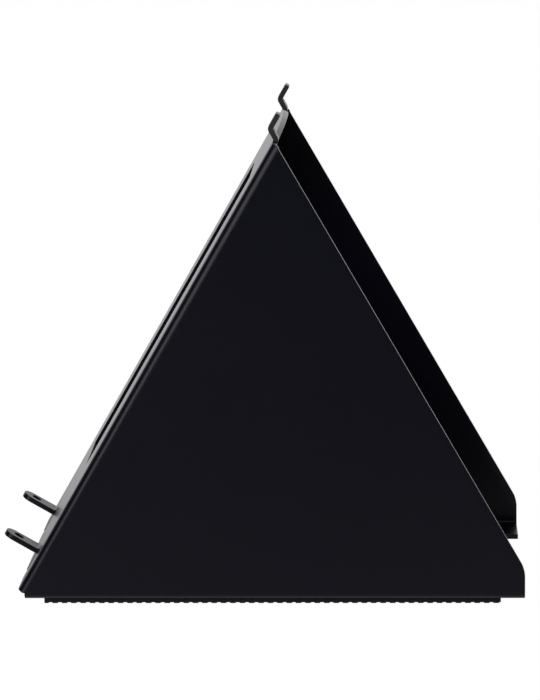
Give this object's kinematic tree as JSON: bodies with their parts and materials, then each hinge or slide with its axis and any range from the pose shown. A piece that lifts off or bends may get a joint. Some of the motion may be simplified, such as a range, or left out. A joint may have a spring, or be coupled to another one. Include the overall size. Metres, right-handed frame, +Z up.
{
  "type": "folded sheet wedge bracket",
  "caption": "Black folded-sheet bracket of triangular side view: a sloped windowed face with joggled hooks, drilled lock tongues, and side plates on flanges with ribbed rubber.",
  "frame": {"origin": "middle of the bounding box, on the floor under the rubber ribs", "axes": "+X from the sloped face and its tongues towards the open mouth, +Y from the front side plate to the rear one, +Z up"},
  "size_m": [0.3084, 0.2, 0.2871],
  "materials": {
    "powder_coat": "satin black powder coat with a fine texture",
    "rubber": "matt black moulded rubber"
  },
  "bodies": {
    "root": {"folded_plate": "powder_coat", "front_hook": "powder_coat", "rear_hook": "powder_coat", "front_lock_tongue": "powder_coat", "rear_lock_tongue": "powder_coat", "front_rubber_strip": "rubber", "rear_rubber_strip": "rubber"}
  },
  "joints": []
}
